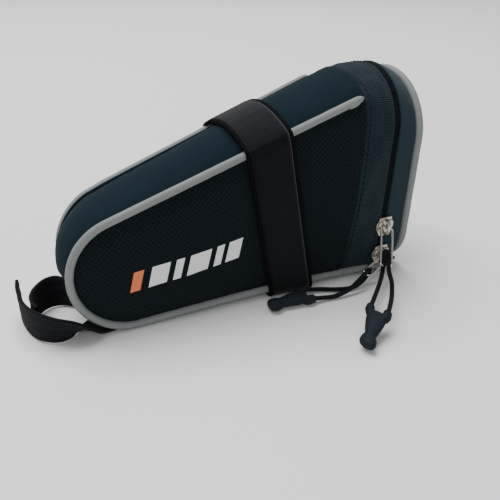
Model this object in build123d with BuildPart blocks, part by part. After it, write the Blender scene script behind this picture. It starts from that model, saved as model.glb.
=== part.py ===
from build123d import *
from math import asin, cos, degrees, pi, radians, sin, sqrt, tan
import os

# Saddle bag for a bicycle: a wedge-shaped pouch with a zipped rear lid.
# Millimetres. +X runs from the nose to the rear lid, +Z is up and -Y is the near side.
# The origin is the centre of the saddle strap's flat underside, on the surface it stands on.

# ---------------------------------------------------------------- driving dimensions
length = 190.0            # nose to rear, over the piping
nose_x = -114.0           # foremost point; the saddle strap crosses 114 mm behind it
nose_half_width = 20.0
rear_half_width = 32.0
side_lean = 0.04          # the sides lean inwards by this much for each mm of height
piping_r = 2.0
wall = 2.4                # foam-backed fabric
nose_radius = 28.5        # piping's path round the nose
slope_deg = 17.9          # rise of the top edge towards the rear
bottom_rise_deg = 3.4     # the bottom is drawn up a little between nose and rear

seam_x, seam_lean = 31.0, 0.10          # seam between the side panels and the zip band
coil_x, coil_lean = 56.6, 0.045         # zip's centre line
back_x, back_lean = 71.5, 0.035         # rear panel's plane
coil_half, coil_top = 30.5, 111.0       # horseshoe that the zip follows
back_half, back_top = 31.5, 106.0       # horseshoe that the rear piping follows
seam_crown = 8.0
band_foot = 7.0                         # the zip bands end above the bottom piping

tape_gap, tape_edge = 0.6, 3.0          # tape's two edges, from the zip's centre line
coil_width, coil_depth = 1.4, 1.4

strap_width, strap_t, strap_lean_deg = 25.0, 2.0, 8.5
webbing_width, webbing_t = 16.0, 1.6

upper_slider_z, lower_slider_z = 28.0, 10.6
ring_length, upper_ring_half, lower_ring_half, wire_r = 21.5, 3.5, 2.1, 0.65
cord_d = 2.4
toggle_t = 5.6
hinge_out = 3.6                         # ring's bar, outwards from the zip's surface

# ---------------------------------------------------------------- derived geometry
taper = (rear_half_width - nose_half_width) / length
nose_cx, nose_cz = nose_x + piping_r + nose_radius, piping_r + nose_radius
top_deg = 90 + slope_deg
end_deg = 270 + bottom_rise_deg
arc_x0 = nose_cx + nose_radius * sin(radians(bottom_rise_deg))
arc_z0 = nose_cz - nose_radius * cos(radians(bottom_rise_deg))
arc_mid = (arc_x0 + back_x) / 2
arc_r = (back_x - arc_x0) / 2 / sin(radians(bottom_rise_deg))


def half_width(x, z):
    return nose_half_width + taper * (x - nose_x) - side_lean * z


def leaning_plane(x, lean):
    """Cross plane that meets the floor at x; local x is +Y and local y runs up the lean."""
    return Plane(origin=(x, 0, 0), x_dir=(0, 1, 0), z_dir=(1, 0, -lean))


near_plane = Plane(origin=(0, -half_width(0, 0), 0), x_dir=(1, -taper, 0), z_dir=(-taper, -1, side_lean))
seam_plane = leaning_plane(seam_x, seam_lean)
coil_plane = leaning_plane(coil_x, coil_lean)
back_plane = leaning_plane(back_x, back_lean)
strap_plane = Plane(origin=(0, 0, 0), x_dir=(0, 1, 0),
                    z_dir=(cos(radians(strap_lean_deg)), 0, sin(radians(strap_lean_deg))))


# ---------------------------------------------------------------- the side's edge path
def slope_z(x):
    foot_x = nose_cx + nose_radius * cos(radians(top_deg))
    foot_z = nose_cz + nose_radius * sin(radians(top_deg))
    return foot_z + (x - foot_x) * tan(radians(slope_deg))


seam_top_x = (seam_x + seam_lean * slope_z(0)) / (1 - seam_lean * tan(radians(slope_deg)))


def on_slope(x):
    """Station on the top slope: x, z and the direction of its outward normal."""
    return x, slope_z(x), top_deg


def on_nose(angle):
    return nose_cx + nose_radius * cos(radians(angle)), nose_cz + nose_radius * sin(radians(angle)), angle


def on_bottom(x):
    turn = asin((x - arc_mid) / arc_r)
    rise = arc_r * (cos(turn) - cos(radians(bottom_rise_deg)))
    return x, arc_z0 + rise, 270 - degrees(turn)


def edge_path(end_x, start_x):
    """Piping's centre line in a side plane: down the slope, round the nose and along the bottom."""
    with BuildLine() as path:
        foot = on_nose(top_deg)
        Line((start_x, slope_z(start_x)), (foot[0], foot[1]))
        CenterArc((nose_cx, nose_cz), nose_radius, top_deg, end_deg - top_deg)
        middle, end = on_bottom((arc_x0 + end_x) / 2), on_bottom(end_x)
        ThreePointArc((arc_x0, arc_z0), (middle[0], middle[1]), (end[0], end[1]))
    return path.line


def side_profile(plane, inset):
    """Outline of a side, drawn in from the piping's centre line."""
    with BuildSketch(plane) as profile:
        with BuildLine():
            path = edge_path(seam_x, seam_top_x)
            add(path)
            Line(path @ 1, path @ 0)
        make_face()
        offset(amount=-inset, kind=Kind.INTERSECTION)
    return profile.sketch


# ---------------------------------------------------------------- strips across the bag
def strip_plane(station):
    x, z, angle = station
    a = radians(angle)
    return Plane(origin=(x, 0, z), x_dir=(0, 1, 0), z_dir=(sin(a), 0, -cos(a)))


def strip_section(plane, half, outer, thickness, crown):
    """Crowned strip seen end on: flat side edges and parallel curved faces."""
    low = outer - thickness
    with BuildSketch(plane) as section:
        with BuildLine():
            ThreePointArc((-half, outer), (0, outer + crown), (half, outer))
            Line((half, outer), (half, low))
            ThreePointArc((half, low), (0, low + crown), (-half, low))
            Line((-half, low), (-half, outer))
        make_face()
    return section.sketch


def strip(stations, outer, thickness, side_gap):
    """Sections of a strip that spans between the two sides; a station adds its crown."""
    sections = []
    for x, z, angle, crown in stations:
        half = half_width(x, z) - side_gap
        sections.append(strip_section(strip_plane((x, z, angle)), half, outer, thickness, crown))
    return sections


# ---------------------------------------------------------------- horseshoes round the zip
def horseshoe(plane, half, top, foot):
    """Closed arch: straight sides joined by a half circle."""
    spring = top - half
    with BuildSketch(plane) as arch:
        with BuildLine():
            Line((-half, foot), (-half, spring))
            ThreePointArc((-half, spring), (0, top), (half, spring))
            Line((half, spring), (half, foot))
            Line((half, foot), (-half, foot))
        make_face()
    return arch.sketch


def seam_arch(plane, inset, foot):
    """The bag's section at the seam: leaning sides under a shallow crown."""
    shoulder = slope_z(seam_top_x)
    wide = half_width(seam_x, 0) - inset
    narrow = half_width(seam_top_x, shoulder) - inset
    with BuildSketch(plane) as arch:
        with BuildLine():
            Line((-wide, foot), (-narrow, shoulder - inset))
            ThreePointArc((-narrow, shoulder - inset), (0, shoulder + seam_crown - inset),
                          (narrow, shoulder - inset))
            Line((narrow, shoulder - inset), (wide, foot))
            Line((wide, foot), (-wide, foot))
        make_face()
    return arch.sketch


def horseshoe_ring(plane, half, top, outer, depth, foot, width):
    """Thin arch of fabric that follows a horseshoe, depth measured inwards from outer."""
    with BuildPart() as ring:
        with BuildSketch(plane):
            add(horseshoe(Plane.XY, half + outer, top + outer, foot))
            inner = outer - depth
            add(horseshoe(Plane.XY, half + inner, top + inner, foot - 1), mode=Mode.SUBTRACT)
        extrude(amount=width)
    return ring.part


def finish(part, name):
    part.label = name
    export_step(part, f"parts/{name}.step")


def finish_pair(part, name):
    """Write a near piece and its mirror image on the far side."""
    finish(part, f"{name}_near")
    finish(mirror(part, about=Plane.XZ), f"{name}_far")


os.makedirs("parts", exist_ok=True)

# ---------------------------------------------------------------- side panels and what backs them
with BuildPart() as side_panel:
    extrude(side_profile(near_plane.offset(-1.4), piping_r + 0.1), amount=wall)
finish_pair(side_panel.part, "side_panel")

with BuildPart() as side_foam:
    extrude(side_profile(near_plane.offset(-3.5), 3.4), amount=1.9)
finish_pair(side_foam.part, "side_foam")

with BuildPart() as badge:
    with BuildSketch(near_plane.offset(wall - 1.4 + 0.02)):
        with Locations((-58, 30)):
            SlotOverall(62, 17, rotation=7)
    extrude(amount=0.4)
finish(badge.part, "print_patch")

# ---------------------------------------------------------------- piping
with BuildPart() as piping:
    path = edge_path(coil_x - 0.6, seam_top_x - 0.7).moved(near_plane.location)
    with BuildSketch(Plane(origin=path @ 0, z_dir=path % 0)):
        Circle(piping_r)
    sweep(path=path)
finish_pair(piping.part, "piping")

with BuildPart() as lid_edge_piping:
    low_x = coil_x + 0.6
    start, end = on_bottom(low_x), on_bottom(back_x - 2.2 * piping_r)
    with BuildLine(near_plane):
        run = Line((start[0], start[1]), (end[0], end[1]))
    with BuildSketch(Plane(origin=run @ 0, z_dir=run % 0)):
        Circle(piping_r)
    sweep()
finish_pair(lid_edge_piping.part, "lid_edge_piping")

# ---------------------------------------------------------------- top and bottom strips
gusset_stations = [on_slope(x) + (crown,) for x, crown in ((20, 7.8), (-15, 7.4), (-50, 5.5), (-75, 3.5))]
gusset_stations += [on_nose(a) + (1 + 1.5 * (180 - a) / 72,) for a in (top_deg, 122, 136, 150, 165, 180)]
with BuildPart() as top_gusset:
    seam_shoulder = slope_z(seam_top_x) * sqrt(1 + seam_lean ** 2)
    seam_half = half_width(seam_top_x, slope_z(seam_top_x)) - piping_r
    add(strip_section(seam_plane.offset(-0.3), seam_half, seam_shoulder, wall, seam_crown))
    for section in strip(gusset_stations, 0, wall, piping_r):
        add(section)
    loft(ruled=True)
finish(top_gusset.part, "top_gusset")

nose_stations = [on_nose(a) + (0.8,) for a in (181.5, 195, 210, 225, 240, 255, end_deg)]
bottom_stations = [on_bottom(x) + (0.8,) for x in (-60, -35, -10, 15, 40, coil_x - 0.5)]
with BuildPart() as bottom_panel:
    for section in strip(nose_stations + bottom_stations, 0, wall, piping_r):
        add(section)
    loft(ruled=True)
finish(bottom_panel.part, "bottom_panel")

with BuildPart() as lid_bottom:
    for section in strip([on_bottom(x) + (0.8,) for x in (coil_x + 0.5, back_x - 2.6)], 0, wall, piping_r):
        add(section)
    loft(ruled=True)
finish(lid_bottom.part, "lid_bottom")

with BuildPart() as base_stiffener:
    for section in strip([on_bottom(x) + (0.8,) for x in (-76, -50, -20, 10, 48)], -wall - 0.2, 1.0, 6):
        add(section)
    loft(ruled=True)
finish(base_stiffener.part, "base_stiffener")


# ---------------------------------------------------------------- lining
def pocket(inset, side_gap, rear_cut):
    with BuildPart() as form:
        extrude(side_profile(Plane.XZ, inset), amount=40, both=True)
        split(bisect_by=near_plane.offset(-side_gap), keep=Keep.BOTTOM)
        mirror(about=Plane.XZ, mode=Mode.INTERSECT)
        if rear_cut:
            split(bisect_by=seam_plane.offset(-rear_cut), keep=Keep.BOTTOM)
    return form.part


lining_t = 0.6
with BuildPart() as lining:
    add(pocket(4.2, 3.9, 6))
    add(pocket(4.2 + lining_t, 3.9 + lining_t, 0), mode=Mode.SUBTRACT)
finish(lining.part, "lining")

# ---------------------------------------------------------------- zip bands, tapes and coils
with BuildPart() as band_body:
    add(seam_arch(seam_plane.offset(0.3), 0, band_foot))
    add(horseshoe(coil_plane.offset(-tape_edge - 0.1), coil_half, coil_top, band_foot))
    loft(ruled=True)
    with BuildPart(mode=Mode.SUBTRACT):
        add(seam_arch(seam_plane.offset(0.3), wall, band_foot - 2))
        add(horseshoe(coil_plane.offset(-tape_edge - 0.1), coil_half - wall, coil_top - wall, band_foot - 2))
        loft(ruled=True)
finish(band_body.part, "zip_band_body")

with BuildPart() as band_lid:
    rear_face = back_plane.offset(-piping_r - 0.1)
    add(horseshoe(coil_plane.offset(tape_edge + 0.1), coil_half, coil_top, band_foot))
    add(horseshoe(rear_face, back_half, back_top, band_foot))
    loft(ruled=True)
    with BuildPart(mode=Mode.SUBTRACT):
        add(horseshoe(coil_plane.offset(tape_edge + 0.1), coil_half - wall, coil_top - wall, band_foot - 2))
        add(horseshoe(rear_face, back_half - wall, back_top - wall, band_foot - 2))
        loft(ruled=True)
finish(band_lid.part, "zip_band_lid")

tape_width = tape_edge - tape_gap
for side, first in (("body", -tape_edge), ("lid", tape_gap)):
    tape = horseshoe_ring(coil_plane.offset(first), coil_half, coil_top, -1.7, 0.6, band_foot, tape_width)
    finish(tape, f"zip_tape_{side}")

for side, first in (("body", -tape_gap - coil_width), ("lid", tape_gap)):
    row = horseshoe_ring(coil_plane.offset(first), coil_half, coil_top, -0.25, coil_depth, band_foot, coil_width)
    finish(row, f"zip_coil_{side}")

# ---------------------------------------------------------------- rear lid
with BuildPart() as rear_panel:
    trim = piping_r + 0.1
    extrude(horseshoe(back_plane.offset(-1.4), back_half - trim, back_top - trim, 5.6), amount=wall)
finish(rear_panel.part, "rear_panel")

with BuildPart() as rear_stiffener:
    extrude(horseshoe(back_plane.offset(-2.7), back_half - 6, back_top - 6, 9), amount=1.1)
finish(rear_stiffener.part, "rear_stiffener")

with BuildPart() as rear_piping:
    with BuildLine(back_plane) as loop:
        Line((-back_half, 4.6), (-back_half, back_top - back_half))
        ThreePointArc((-back_half, back_top - back_half), (0, back_top), (back_half, back_top - back_half))
        Line((back_half, back_top - back_half), (back_half, 4.6))
    with BuildSketch(Plane(origin=loop.line @ 0, z_dir=loop.line % 0)):
        Circle(piping_r)
    sweep()
finish(rear_piping.part, "rear_piping")

with BuildPart() as rear_foot_piping:
    with BuildSketch(Plane.XZ.offset(-back_half - piping_r)):
        with Locations((back_x, piping_r)):
            Circle(piping_r)
    extrude(amount=2 * (back_half + piping_r))
finish(rear_foot_piping.part, "rear_foot_piping")

# ---------------------------------------------------------------- saddle strap
strap_gap = 0.3
strap_crown = 7.0


def strap_section(reach, grow):
    """The strap's section a distance along its width, grown outwards from the bag's skin."""
    lean_s, lean_c = sin(radians(strap_lean_deg)), cos(radians(strap_lean_deg))
    rise = tan(radians(slope_deg))
    edge = (slope_z(0) + reach * (lean_s - rise * lean_c)) / (lean_c + rise * lean_s)
    shoulder = edge + 1.2 + 0.3 * grow
    wide = half_width(-reach * lean_c, 0) + piping_r + 0.1 + grow
    narrow = half_width(-reach * lean_c - edge * lean_s, edge) + piping_r + 0.1 + grow
    low = -2 * strap_t
    with BuildSketch(strap_plane.offset(-reach)) as section:
        with BuildLine():
            Line((-wide, low), (-narrow, shoulder))
            ThreePointArc((-narrow, shoulder), (0, shoulder + strap_crown + 0.7 * grow), (narrow, shoulder))
            Line((narrow, shoulder), (wide, low))
            Line((wide, low), (-wide, low))
        make_face()
    return section.sketch


def strap_form(grow, floor):
    """Everything inside the strap's surface, above a floor."""
    with BuildPart() as form:
        for reach in (-strap_width / 2, strap_width / 2):
            add(strap_section(reach, grow))
        loft(ruled=True)
        split(bisect_by=Plane.XY.offset(floor))
    return form.part


with BuildPart() as saddle_strap:
    add(strap_form(strap_gap + strap_t, 0))
    add(strap_form(strap_gap, strap_t), mode=Mode.SUBTRACT)
finish(saddle_strap.part, "saddle_strap")

flap_t, hook_t, flap_foot, flap_head = 1.8, 1.2, 26.0, 78.0


def strap_layer(low, thickness, foot, head, trim):
    """A layer on the strap's far side, between two heights."""
    with BuildPart() as layer:
        add(strap_form(low + thickness, 0))
        add(strap_form(low, -1), mode=Mode.SUBTRACT)
        split(bisect_by=Plane.XY.offset(foot))
        split(bisect_by=Plane.XY.offset(head), keep=Keep.BOTTOM)
        split(bisect_by=Plane.XZ, keep=Keep.BOTTOM)
        split(bisect_by=strap_plane.offset(strap_width / 2 - trim), keep=Keep.BOTTOM)
        split(bisect_by=strap_plane.offset(trim - strap_width / 2))
    return layer.part


skin = strap_gap + strap_t + 0.1
finish(strap_layer(skin, hook_t, flap_foot + 8, flap_head - 6, 2), "strap_hook_patch")
finish(strap_layer(skin + hook_t + 0.4, flap_t, flap_foot, flap_head, 0), "strap_flap")

# ---------------------------------------------------------------- seat-post strap
# Each station is the band's middle, its heading in plan and its roll: 0 flat, 90 on edge.
near_stations = [
    ((-92.6, -11.9, 0.95), 180, 0),
    ((-99.0, -13.0, 1.1), 187, 0),
    ((-106.0, -17.4, 3.1), 198, 14),
    ((-113.5, -20.4, 7.3), 192, 56),
    ((-120.8, -19.8, 8.5), 165, 78),
    ((-127.3, -14.3, 8.8), 128, 90),
    ((-131.4, -6.5, 8.8), 108, 90),
    ((-133.2, 2.6, 9.0), 95, 90),
    ((-133.4, 11.0, 10.0), 87, 90),
    ((-132.0, 17.4, 11.4), 72, 90),
]
far_stations = [
    ((-92.6, 12.2, 1.0), 180, 0),
    ((-99.0, 12.8, 1.2), 178, 0),
    ((-106.0, 16.4, 3.6), 170, -18),
    ((-112.8, 18.0, 7.5), 182, -58),
    ((-119.0, 15.8, 8.6), 204, -82),
    ((-124.4, 11.2, 8.9), 228, -90),
    ((-128.0, 5.0, 8.8), 252, -90),
    ((-128.9, -1.6, 8.8), 272, -90),
    ((-127.2, -7.8, 8.8), 296, -90),
]


def webbing_section(station, width, thickness):
    """A flat band's cross section: its width turns about the heading with the roll."""
    middle, heading, roll = station
    ahead = Vector(cos(radians(heading)), sin(radians(heading)), 0)
    level = ahead.cross(Vector(0, 0, 1))
    across = level * cos(radians(roll)) + Vector(0, 0, -1) * sin(radians(roll))
    with BuildSketch(Plane(origin=middle, x_dir=across, z_dir=ahead)) as section:
        Rectangle(width, thickness)
    return section.sketch


def webbing(stations):
    with BuildPart() as band:
        for station in stations:
            add(webbing_section(station, webbing_width, webbing_t))
        loft(ruled=True)
    return band.part


finish(webbing(near_stations), "post_strap_near")
finish(webbing(far_stations), "post_strap_far")

with BuildPart() as post_strap_anchor:
    with BuildSketch(Plane.XY.offset(0.2)):
        with Locations((-88.4, -11.9)):
            Rectangle(7.0, webbing_width)
    extrude(amount=0.8)
finish(post_strap_anchor.part, "post_strap_anchor")

# ---------------------------------------------------------------- zip sliders
slider_half, slider_long = 5.3, 11.6


def slider_plane(z):
    """On the near run of the zip: local y runs up the zip and local z faces out."""
    x = coil_x + coil_lean * z
    return Plane(origin=(x, -coil_half, z), x_dir=(1, 0, -coil_lean), z_dir=(0, -1, 0))


def wing(plane, half, end, thickness):
    """Shield-shaped plate, wide at the shoulders and narrow at the tail."""
    with BuildPart() as plate:
        with BuildSketch(plane):
            with BuildLine():
                Polyline((-half * 0.74, end), (-half, end * 0.35), (-half, -end * 0.4), (-half * 0.62, -end),
                         (half * 0.62, -end), (half, -end * 0.4), (half, end * 0.35), (half * 0.74, end), close=True)
            make_face()
            fillet(vertices(), radius=0.6)
        extrude(amount=thickness)
    return plate.part


def slider(z):
    """Two wings joined by a neck between the coils, with a bridge that holds the ring."""
    plane = slider_plane(z)
    with BuildPart() as body:
        add(wing(plane.offset(0.7), slider_half, slider_long / 2, 1.2))
        add(wing(plane.offset(-3.6), slider_half - 0.9, slider_long / 2 - 1.8, 0.9))
        with BuildSketch(plane.offset(-2.8)):
            Rectangle(0.8, 3.4)
        extrude(amount=3.6)
        with BuildSketch(Plane(origin=plane.origin, x_dir=plane.y_dir, z_dir=plane.x_dir).offset(-1.0)):
            with BuildLine():
                Polyline((-3.9, 1.8), (3.9, 1.8), (3.9, 3.8), (2.5, 5.7), (-2.5, 5.7), (-3.9, 3.8), close=True)
            make_face()
            with Locations((0, hinge_out)):
                RectangleRounded(5.6, 2.4, 1.1, mode=Mode.SUBTRACT)
        extrude(amount=2.0)
    return body.part


finish(slider(upper_slider_z), "upper_slider_body")
finish(slider(lower_slider_z), "lower_slider_body")


# ---------------------------------------------------------------- pull rings
def ring_frame(z, along):
    """Hinge point on a slider, and the ring's down, across and outward directions."""
    plane = slider_plane(z)
    hinge = plane.origin + plane.z_dir * hinge_out
    down = Vector(*along).normalized()
    across = (Vector(1, 0, 0) - down * Vector(1, 0, 0).dot(down)).normalized()
    return hinge, down, across, down.cross(across)


def ring(frame, left, top, half):
    """Wire loop through the slider's bridge; left and top place its corner from the hinge."""
    hinge, down, across, out = frame
    right, bottom = left + 2 * half, top - ring_length
    with BuildPart() as loop:
        with BuildLine(Plane(origin=hinge, x_dir=across, z_dir=out)) as wire:
            FilletPolyline((left, top), (left, bottom), (right, bottom), (right, top), radius=1.3, close=True)
        with BuildSketch(Plane(origin=wire.line @ 0, z_dir=wire.line % 0)):
            Circle(wire_r)
        sweep(path=wire.line)
    return loop.part


# ---------------------------------------------------------------- pull cords and their ends
def arc_radii(points):
    """Each corner's radius: 0.45 of the shorter run, over the tangent of half the turn."""
    radii = []
    for before, here, after in zip(points, points[1:], points[2:]):
        first, second = Vector(*here) - Vector(*before), Vector(*after) - Vector(*here)
        shorter = min(first.length, second.length)
        radii.append(0.45 * shorter / tan(radians(first.get_angle(second) / 2)))
    return radii


def cord(points, name):
    radii = arc_radii(points)
    with BuildPart() as tube:
        with BuildLine() as route:
            FilletPolyline(*points, radius=radii)
        with BuildSketch(Plane(origin=route.line @ 0, z_dir=route.line % 0)):
            Circle(cord_d / 2)
        sweep(path=route.line)
    run = route.wire().length
    section = pi * cord_d ** 2 / 4
    print(name, "length", round(run, 1), "volume", round(tube.part.volume, 1),
          "section x length", round(section * run, 1), "radii", [round(r, 1) for r in radii])
    return tube.part


def cord_end(left, right, foot):
    """Moulded toggle: wide shoulders that grip the cord's ends, a waist and a flared foot."""
    left, right, foot = Vector(*left), Vector(*right), Vector(*foot)
    top = (left + right) / 2
    across, along = (right - left).normalized(), (foot - top).normalized()
    reach = (foot - top).length
    shoulders = [(6.4, -0.6), (6.4, 4.5), (4.6, 9.0)]
    waist_and_foot = [(3.2, reach - 8), (3.2, reach - 6.5), (4.4, reach - 4), (4.4, reach)]
    outline = shoulders + waist_and_foot
    with BuildPart() as toggle:
        with BuildSketch(Plane(origin=top, x_dir=across, z_dir=across.cross(along))):
            with BuildLine():
                Polyline(*outline, *[(-x, y) for x, y in reversed(outline)], close=True)
            make_face()
            fillet(vertices(), radius=1.0)
        extrude(amount=toggle_t / 2, both=True)
        flat = toggle.faces().sort_by(Axis(tuple(top), tuple(across.cross(along))))
        chamfer(flat[0].edges() + flat[-1].edges(), length=0.8)
    return toggle.part


upper_frame = ring_frame(upper_slider_z, (-7.9, -12.1, -15.9))
lower_frame = ring_frame(lower_slider_z, (-19.5, -6.3, -2.8))
finish(ring(upper_frame, -upper_ring_half, 0, upper_ring_half), "upper_pull_ring")
finish(ring(lower_frame, 0, 3.0, lower_ring_half), "lower_pull_ring")

# Each cord runs from one arm of its end, round the ring's lower bar and back to the other arm.
upper_route = [
    (21.0, -71.4, 9.5), (27.0, -65.8, 8.6), (34.8, -58.6, 7.2), (42.6, -51.4, 6.6), (49.0, -45.2, 8.1),
    (51.0, -42.3, 12.5), (51.0, -46.6, 15.7), (48.5, -50.4, 10.8), (46.4, -56.2, 8.6), (42.0, -62.0, 8.0),
    (35.8, -69.2, 8.7), (29.4, -75.8, 9.3), (24.7, -80.0, 9.5),
]
lower_route = [
    (5.0, -43.9, 2.9), (11.0, -44.6, 2.0), (18.5, -45.9, 1.4), (27.0, -46.4, 3.6), (35.6, -45.4, 9.1),
    (43.4, -41.3, 10.1), (43.4, -39.9, 5.0), (36.5, -42.6, 2.4), (29.0, -42.9, 1.4), (21.5, -39.6, 1.3),
    (14.5, -36.0, 1.5), (9.0, -34.8, 2.2), (5.0, -34.7, 2.9),
]
finish(cord(upper_route, "upper"), "upper_pull_cord")
finish(cord(lower_route, "lower"), "lower_pull_cord")
finish(cord_end(upper_route[0], upper_route[-1], (4.8, -90.3, 3.6)), "upper_cord_end")
finish(cord_end(lower_route[0], lower_route[-1], (-19.0, -40.3, 3.3)), "lower_cord_end")
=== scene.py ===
import math

import bpy
import bmesh
import numpy as np
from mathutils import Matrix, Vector, noise


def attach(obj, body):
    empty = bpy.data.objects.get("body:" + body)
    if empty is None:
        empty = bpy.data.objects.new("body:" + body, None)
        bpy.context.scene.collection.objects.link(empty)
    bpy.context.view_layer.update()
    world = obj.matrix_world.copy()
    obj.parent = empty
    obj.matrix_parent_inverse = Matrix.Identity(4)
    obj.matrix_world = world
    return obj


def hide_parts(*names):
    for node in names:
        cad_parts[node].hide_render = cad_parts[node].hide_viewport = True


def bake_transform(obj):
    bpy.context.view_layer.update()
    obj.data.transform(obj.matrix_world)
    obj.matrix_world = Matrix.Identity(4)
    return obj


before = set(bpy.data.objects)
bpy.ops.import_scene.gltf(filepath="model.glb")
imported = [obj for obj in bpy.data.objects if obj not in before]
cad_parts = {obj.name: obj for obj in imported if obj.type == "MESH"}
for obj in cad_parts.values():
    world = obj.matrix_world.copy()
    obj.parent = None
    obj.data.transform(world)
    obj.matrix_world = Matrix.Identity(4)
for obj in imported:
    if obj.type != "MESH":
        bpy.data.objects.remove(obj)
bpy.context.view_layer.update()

MM = 0.001

# ---------------------------------------------------------------- the bag's own sizes, in millimetres
NOSE_X, NOSE_HALF, REAR_HALF, LENGTH, SIDE_LEAN, PIPING_R = -114.0, 20.0, 32.0, 190.0, 0.04, 2.0
NOSE_R, SLOPE, RISE = 28.5, math.radians(17.9), math.radians(3.4)
NOSE_C = (NOSE_X + PIPING_R + NOSE_R, PIPING_R + NOSE_R)
COIL_HALF, COIL_TOP, BACK_HALF, BACK_TOP = 30.5, 111.0, 31.5, 106.0
CORD_D = 2.4
SIDE_EDGE_END = 52.0                    # where the piping along the bottom edge ends
LINING_NOSE_R = 24.0
REAR_MID_Z = 50.0
UPPER_SLIDER_Z, LOWER_SLIDER_Z = 28.0, 10.6


def half_width(x, z):
    return NOSE_HALF + (REAR_HALF - NOSE_HALF) / LENGTH * (x - NOSE_X) - SIDE_LEAN * z


def seam_x(z):
    return 31.0 + 0.10 * z


def coil_x(z):
    return 56.6 + 0.045 * z


def back_x(z):
    return 71.5 + 0.035 * z


def slope_z(x):
    foot_x, foot_z = NOSE_C[0] - NOSE_R * math.sin(SLOPE), NOSE_C[1] + NOSE_R * math.cos(SLOPE)
    return foot_z + (x - foot_x) * math.tan(SLOPE)


SEAM_TOP_X = (31.0 + 0.10 * slope_z(0)) / (1 - 0.10 * math.tan(SLOPE))
BOTTOM_X = NOSE_C[0] + NOSE_R * math.sin(RISE)
BOTTOM_Z = NOSE_C[1] - NOSE_R * math.cos(RISE)
BOTTOM_MID = (BOTTOM_X + 71.5) / 2
BOTTOM_R = (71.5 - BOTTOM_X) / 2 / math.sin(RISE)


def bottom_z(x):
    turn = math.asin((x - BOTTOM_MID) / BOTTOM_R)
    return BOTTOM_Z + BOTTOM_R * (math.cos(turn) - math.cos(RISE))


def smooth(value, low, high):
    t = min(1.0, max(0.0, (value - low) / (high - low)))
    return t * t * (3 - 2 * t)


def wander(x, y, z, size, seed=0.0):
    return noise.noise(Vector((x / size + seed, y / size - seed, z / size + 2 * seed)))


def edge_path(end_x, step=1.5):
    """Side edge as (x, z, outward x, outward z): down the slope, round the nose, along the bottom."""
    points = []
    foot_x = NOSE_C[0] - NOSE_R * math.sin(SLOPE)
    for x in np.arange(SEAM_TOP_X - 0.7, foot_x, -step):
        points.append((x, slope_z(x), -math.sin(SLOPE), math.cos(SLOPE)))
    turn = math.pi - SLOPE + RISE
    steps = int(NOSE_R * turn / step)
    for i in range(steps):
        a = math.pi / 2 + SLOPE + turn * i / steps
        points.append((NOSE_C[0] + NOSE_R * math.cos(a), NOSE_C[1] + NOSE_R * math.sin(a),
                       math.cos(a), math.sin(a)))
    for x in np.arange(BOTTOM_X, end_x, step):
        t = math.asin((x - BOTTOM_MID) / BOTTOM_R)
        points.append((x, bottom_z(x), -math.sin(t), -math.cos(t)))
    return points


# ---------------------------------------------------------------- materials
def new_material(name, color, roughness, metallic=0.0, sheen=0.0):
    material = bpy.data.materials.new(name)
    material.use_nodes = True
    shader = material.node_tree.nodes["Principled BSDF"]
    shader.inputs["Base Color"].default_value = (*color, 1)
    shader.inputs["Roughness"].default_value = roughness
    shader.inputs["Metallic"].default_value = metallic
    shader.inputs["Sheen Weight"].default_value = sheen
    shader.inputs["Sheen Roughness"].default_value = 0.5
    return material, material.node_tree, shader


def node(tree, kind, **values):
    made = tree.nodes.new(kind)
    for key, value in values.items():
        if key in made.inputs:
            made.inputs[key].default_value = value
        else:
            setattr(made, key, value)
    return made


def math_node(tree, operation, a, b):
    made = node(tree, "ShaderNodeMath", operation=operation)
    for socket, value in zip(made.inputs, (a, b)):
        if isinstance(value, (int, float)):
            socket.default_value = value
        else:
            tree.links.new(value, socket)
    return made.outputs[0]


def dots(tree, vector, pitch):
    """Staggered round holes: 0 in a hole and 1 between them."""
    turned = node(tree, "ShaderNodeMapping")
    turned.inputs["Rotation"].default_value[2] = math.pi / 4
    cells = node(tree, "ShaderNodeTexVoronoi", Scale=1 / pitch, Randomness=0.0)
    ramp = node(tree, "ShaderNodeMapRange")
    ramp.inputs["From Min"].default_value, ramp.inputs["From Max"].default_value = 0.2, 0.36
    tree.links.new(vector, turned.inputs["Vector"])
    tree.links.new(turned.outputs[0], cells.inputs["Vector"])
    tree.links.new(cells.outputs["Distance"], ramp.inputs["Value"])
    return ramp.outputs[0]


def lines(tree, vector, pitch, direction="X", distortion=0.0):
    wave = node(tree, "ShaderNodeTexWave", Scale=math.pi / 10 / pitch, Distortion=distortion)
    wave.bands_direction = direction
    tree.links.new(vector, wave.inputs["Vector"])
    return wave.outputs["Fac"]


def weave(tree, vector, pitch):
    return math_node(tree, "MULTIPLY", lines(tree, vector, pitch, "X"), lines(tree, vector, pitch, "Y"))


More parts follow.
